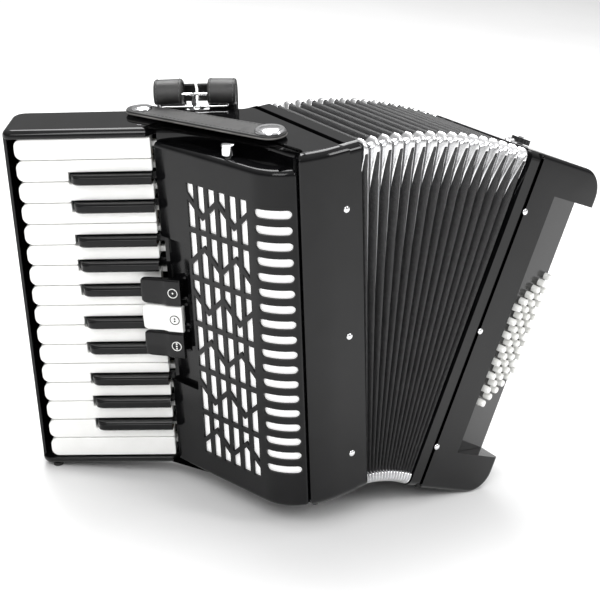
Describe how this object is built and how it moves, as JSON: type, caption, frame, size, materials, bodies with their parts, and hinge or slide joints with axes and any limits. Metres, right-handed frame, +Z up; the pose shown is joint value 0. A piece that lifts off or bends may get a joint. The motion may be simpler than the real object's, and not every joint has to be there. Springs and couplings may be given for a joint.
{
  "type": "piano accordion",
  "caption": "Piano accordion with a swept keyboard, fanned bellows, slanted bass buttons, closing straps and shoulder straps.",
  "frame": {"origin": "centre of the bounding box's footprint, on the surface it stands on", "axes": "+Z up, front of the bellows towards -Y, keyboard side towards -X, bass side towards +X"},
  "size_m": [0.4914, 0.2515, 0.37],
  "materials": {
    "key_white": "glossy white plastic, slightly rounded edges",
    "key_black": "glossy black plastic with bevelled tops",
    "shell": "deep gloss black pearloid-free celluloid over a thin wooden shell",
    "grille_black": "gloss black enamel over pressed aluminium",
    "mesh": "white speckled gauze behind the grille",
    "wood": "plain maple, planed",
    "felt": "black painted wood with a felt rail",
    "steel": "bright steel",
    "chrome": "polished nickel",
    "bellows_cloth": "black leatherette over card, woven tape on the fold edges",
    "corner_metal": "bright pressed metal corner caps",
    "leather": "black grained leather with stitched edges",
    "rubber": "matt black rubber",
    "tab_black": "gloss black register tab",
    "tab_white": "gloss white register tab",
    "button_white": "glossy white bass buttons",
    "knob": "black ribbed plastic wheel"
  },
  "bodies": {
    "treble_side": {"treble_case": "shell", "keyboard_bed": "felt", "key_axle": "steel", "grille": "grille_black", "grille_mesh": "mesh", "register_plate": "grille_black", "treble_reed_block": "wood", "treble_bellows_frame": "shell", "treble_fasteners": "chrome", "treble_feet": "rubber", "strap_brackets": "chrome", "shoulder_straps": "leather", "bellows_folds": "bellows_cloth", "bellows_corners": "corner_metal", "bellows_strap_bottom": "leather"},
    "bass_side": {"bass_bellows_frame": "shell", "bass_case": "shell", "button_board": "shell", "bass_reed_block": "wood", "bass_fasteners": "chrome", "bass_feet": "rubber", "bass_strap": "leather"},
    "key_01": {"key_01": "key_white"},
    "key_02": {"key_02": "key_white"},
    "key_03": {"key_03": "key_black"},
    "key_04": {"key_04": "key_white"},
    "key_05": {"key_05": "key_black"},
    "key_06": {"key_06": "key_white"},
    "key_07": {"key_07": "key_white"},
    "key_08": {"key_08": "key_black"},
    "key_09": {"key_09": "key_white"},
    "key_10": {"key_10": "key_black"},
    "key_11": {"key_11": "key_white"},
    "key_12": {"key_12": "key_black"},
    "key_13": {"key_13": "key_white"},
    "key_14": {"key_14": "key_white"},
    "key_15": {"key_15": "key_black"},
    "key_16": {"key_16": "key_white"},
    "key_17": {"key_17": "key_black"},
    "key_18": {"key_18": "key_white"},
    "key_19": {"key_19": "key_white"},
    "key_20": {"key_20": "key_black"},
    "key_21": {"key_21": "key_white"},
    "key_22": {"key_22": "key_black"},
    "key_23": {"key_23": "key_white"},
    "key_24": {"key_24": "key_black"},
    "key_25": {"key_25": "key_white"},
    "key_26": {"key_26": "key_white"},
    "register_switch_1": {"register_switch_1": "tab_black"},
    "register_switch_2": {"register_switch_2": "tab_white"},
    "register_switch_3": {"register_switch_3": "tab_black"},
    "button_row_1": {"button_row_1": "button_white"},
    "button_row_2": {"button_row_2": "button_white"},
    "button_row_3": {"button_row_3": "button_white"},
    "button_row_4": {"button_row_4": "button_white"},
    "button_row_5": {"button_row_5": "button_white"},
    "button_row_6": {"button_row_6": "button_white"},
    "air_button": {"air_button": "button_white"},
    "strap_wheel": {"strap_wheel": "knob"},
    "bellows_strap_top": {"bellows_strap_top": "leather"}
  },
  "joints": [
    {"name": "bellows_fan", "type": "hinge", "parent": "treble_side", "child": "bass_side", "pos_m": [0.01688, -0.05619, 0.0289], "axis": [0, 1, 0], "range_deg": [-25.85, 12], "deforming": ["bellows_folds", "bellows_corners", "bellows_strap_bottom"]},
    {"name": "key_01", "type": "hinge", "parent": "treble_side", "child": "key_01", "pos_m": [-0.12825, 0.01887, 0.31851], "axis": [0.1559, 0, -0.9878], "range_deg": [0, 1.8], "stiffness_Nm_per_rad": 1.5, "springref_deg": -2.86},
    {"name": "key_02", "type": "hinge", "parent": "treble_side", "child": "key_02", "pos_m": [-0.12529, 0.01887, 0.29974], "axis": [0.1559, 0, -0.9878], "range_deg": [0, 1.8], "stiffness_Nm_per_rad": 1.5, "springref_deg": -2.86},
    {"name": "key_03", "type": "hinge", "parent": "treble_side", "child": "key_03", "pos_m": [-0.12417, 0.01887, 0.29265], "axis": [0.1559, 0, -0.9878], "range_deg": [0, 1.8], "stiffness_Nm_per_rad": 1.5, "springref_deg": -2.86},
    {"name": "key_04", "type": "hinge", "parent": "treble_side", "child": "key_04", "pos_m": [-0.12233, 0.01887, 0.28097], "axis": [0.1559, 0, -0.9878], "range_deg": [0, 1.8], "stiffness_Nm_per_rad": 1.5, "springref_deg": -2.86},
    {"name": "key_05", "type": "hinge", "parent": "treble_side", "child": "key_05", "pos_m": [-0.12048, 0.01887, 0.26929], "axis": [0.1559, 0, -0.9878], "range_deg": [0, 1.8], "stiffness_Nm_per_rad": 1.5, "springref_deg": -2.86},
    {"name": "key_06", "type": "hinge", "parent": "treble_side", "child": "key_06", "pos_m": [-0.11936, 0.01887, 0.26221], "axis": [0.1559, 0, -0.9878], "range_deg": [0, 1.8], "stiffness_Nm_per_rad": 1.5, "springref_deg": -2.86},
    {"name": "key_07", "type": "hinge", "parent": "treble_side", "child": "key_07", "pos_m": [-0.1164, 0.01887, 0.24344], "axis": [0.1559, 0, -0.9878], "range_deg": [0, 1.8], "stiffness_Nm_per_rad": 1.5, "springref_deg": -2.86},
    {"name": "key_08", "type": "hinge", "parent": "treble_side", "child": "key_08", "pos_m": [-0.1154, 0.01887, 0.23712], "axis": [0.1559, 0, -0.9878], "range_deg": [0, 1.8], "stiffness_Nm_per_rad": 1.5, "springref_deg": -2.86},
    {"name": "key_09", "type": "hinge", "parent": "treble_side", "child": "key_09", "pos_m": [-0.11344, 0.01887, 0.22467], "axis": [0.1559, 0, -0.9878], "range_deg": [0, 1.8], "stiffness_Nm_per_rad": 1.5, "springref_deg": -2.86},
    {"name": "key_10", "type": "hinge", "parent": "treble_side", "child": "key_10", "pos_m": [-0.11196, 0.01887, 0.21529], "axis": [0.1559, 0, -0.9878], "range_deg": [0, 1.8], "stiffness_Nm_per_rad": 1.5, "springref_deg": -2.86},
    {"name": "key_11", "type": "hinge", "parent": "treble_side", "child": "key_11", "pos_m": [-0.11048, 0.01887, 0.2059], "axis": [0.1559, 0, -0.9878], "range_deg": [0, 1.8], "stiffness_Nm_per_rad": 1.5, "springref_deg": -2.86},
    {"name": "key_12", "type": "hinge", "parent": "treble_side", "child": "key_12", "pos_m": [-0.10851, 0.01887, 0.19346], "axis": [0.1559, 0, -0.9878], "range_deg": [0, 1.8], "stiffness_Nm_per_rad": 1.5, "springref_deg": -2.86},
    {"name": "key_13", "type": "hinge", "parent": "treble_side", "child": "key_13", "pos_m": [-0.10751, 0.01887, 0.18713], "axis": [0.1559, 0, -0.9878], "range_deg": [0, 1.8], "stiffness_Nm_per_rad": 1.5, "springref_deg": -2.86},
    {"name": "key_14", "type": "hinge", "parent": "treble_side", "child": "key_14", "pos_m": [-0.10455, 0.01887, 0.16837], "axis": [0.1559, 0, -0.9878], "range_deg": [0, 1.8], "stiffness_Nm_per_rad": 1.5, "springref_deg": -2.86},
    {"name": "key_15", "type": "hinge", "parent": "treble_side", "child": "key_15", "pos_m": [-0.10343, 0.01887, 0.16128], "axis": [0.1559, 0, -0.9878], "range_deg": [0, 1.8], "stiffness_Nm_per_rad": 1.5, "springref_deg": -2.86},
    {"name": "key_16", "type": "hinge", "parent": "treble_side", "child": "key_16", "pos_m": [-0.10159, 0.01887, 0.1496], "axis": [0.1559, 0, -0.9878], "range_deg": [0, 1.8], "stiffness_Nm_per_rad": 1.5, "springref_deg": -2.86},
    {"name": "key_17", "type": "hinge", "parent": "treble_side", "child": "key_17", "pos_m": [-0.09975, 0.01887, 0.13792], "axis": [0.1559, 0, -0.9878], "range_deg": [0, 1.8], "stiffness_Nm_per_rad": 1.5, "springref_deg": -2.86},
    {"name": "key_18", "type": "hinge", "parent": "treble_side", "child": "key_18", "pos_m": [-0.09863, 0.01887, 0.13083], "axis": [0.1559, 0, -0.9878], "range_deg": [0, 1.8], "stiffness_Nm_per_rad": 1.5, "springref_deg": -2.86},
    {"name": "key_19", "type": "hinge", "parent": "treble_side", "child": "key_19", "pos_m": [-0.09566, 0.01887, 0.11206], "axis": [0.1559, 0, -0.9878], "range_deg": [0, 1.8], "stiffness_Nm_per_rad": 1.5, "springref_deg": -2.86},
    {"name": "key_20", "type": "hinge", "parent": "treble_side", "child": "key_20", "pos_m": [-0.09467, 0.01887, 0.10574], "axis": [0.1559, 0, -0.9878], "range_deg": [0, 1.8], "stiffness_Nm_per_rad": 1.5, "springref_deg": -2.86},
    {"name": "key_21", "type": "hinge", "parent": "treble_side", "child": "key_21", "pos_m": [-0.0927, 0.01887, 0.0933], "axis": [0.1559, 0, -0.9878], "range_deg": [0, 1.8], "stiffness_Nm_per_rad": 1.5, "springref_deg": -2.86},
    {"name": "key_22", "type": "hinge", "parent": "treble_side", "child": "key_22", "pos_m": [-0.09122, 0.01887, 0.08391], "axis": [0.1559, 0, -0.9878], "range_deg": [0, 1.8], "stiffness_Nm_per_rad": 1.5, "springref_deg": -2.86},
    {"name": "key_23", "type": "hinge", "parent": "treble_side", "child": "key_23", "pos_m": [-0.08974, 0.01887, 0.07453], "axis": [0.1559, 0, -0.9878], "range_deg": [0, 1.8], "stiffness_Nm_per_rad": 1.5, "springref_deg": -2.86},
    {"name": "key_24", "type": "hinge", "parent": "treble_side", "child": "key_24", "pos_m": [-0.08778, 0.01887, 0.06208], "axis": [0.1559, 0, -0.9878], "range_deg": [0, 1.8], "stiffness_Nm_per_rad": 1.5, "springref_deg": -2.86},
    {"name": "key_25", "type": "hinge", "parent": "treble_side", "child": "key_25", "pos_m": [-0.08678, 0.01887, 0.05576], "axis": [0.1559, 0, -0.9878], "range_deg": [0, 1.8], "stiffness_Nm_per_rad": 1.5, "springref_deg": -2.86},
    {"name": "key_26", "type": "hinge", "parent": "treble_side", "child": "key_26", "pos_m": [-0.08381, 0.01887, 0.03699], "axis": [0.1559, 0, -0.9878], "range_deg": [0, 1.8], "stiffness_Nm_per_rad": 1.5, "springref_deg": -2.86},
    {"name": "register_switch_1", "type": "hinge", "parent": "treble_side", "child": "register_switch_1", "pos_m": [-0.12056, 0.00055, 0.1954], "axis": [0.1559, 0, -0.9878], "range_deg": [0, 3], "stiffness_Nm_per_rad": 0.4, "springref_deg": -2.86},
    {"name": "register_switch_2", "type": "hinge", "parent": "treble_side", "child": "register_switch_2", "pos_m": [-0.11664, 0.00055, 0.17061], "axis": [0.1559, 0, -0.9878], "range_deg": [0, 3], "stiffness_Nm_per_rad": 0.4, "springref_deg": -2.86},
    {"name": "register_switch_3", "type": "hinge", "parent": "treble_side", "child": "register_switch_3", "pos_m": [-0.11273, 0.00055, 0.14582], "axis": [0.1559, 0, -0.9878], "range_deg": [0, 3], "stiffness_Nm_per_rad": 0.4, "springref_deg": -2.86},
    {"name": "button_row_1", "type": "slide", "parent": "bass_side", "child": "button_row_1", "axis": [-0.3273, 0.9397, 0.0993], "range_m": [0, 0.004], "stiffness_N_per_m": 250, "springref_m": -0.001},
    {"name": "button_row_2", "type": "slide", "parent": "bass_side", "child": "button_row_2", "axis": [-0.3273, 0.9397, 0.0993], "range_m": [0, 0.004], "stiffness_N_per_m": 250, "springref_m": -0.001},
    {"name": "button_row_3", "type": "slide", "parent": "bass_side", "child": "button_row_3", "axis": [-0.3273, 0.9397, 0.0993], "range_m": [0, 0.004], "stiffness_N_per_m": 250, "springref_m": -0.001},
    {"name": "button_row_4", "type": "slide", "parent": "bass_side", "child": "button_row_4", "axis": [-0.3273, 0.9397, 0.0993], "range_m": [0, 0.004], "stiffness_N_per_m": 250, "springref_m": -0.001},
    {"name": "button_row_5", "type": "slide", "parent": "bass_side", "child": "button_row_5", "axis": [-0.3273, 0.9397, 0.0993], "range_m": [0, 0.004], "stiffness_N_per_m": 250, "springref_m": -0.001},
    {"name": "button_row_6", "type": "slide", "parent": "bass_side", "child": "button_row_6", "axis": [-0.3273, 0.9397, 0.0993], "range_m": [0, 0.004], "stiffness_N_per_m": 250, "springref_m": -0.001},
    {"name": "air_button", "type": "slide", "parent": "bass_side", "child": "air_button", "axis": [-0.9569, 0, 0.2904], "range_m": [0, 0.0035], "stiffness_N_per_m": 300, "springref_m": -0.001},
    {"name": "strap_wheel_spin", "type": "hinge", "parent": "bass_side", "child": "strap_wheel", "pos_m": [0.22864, -0.02819, 0.30845], "axis": [0.2904, 0, 0.9569], "continuous": true},
    {"name": "bellows_strap_swing", "type": "hinge", "parent": "treble_side", "child": "bellows_strap_top", "pos_m": [-0.08927, -0.06819, 0.34521], "axis": [-0.1559, 0, 0.9878], "range_deg": [0, 250]}
  ]
}
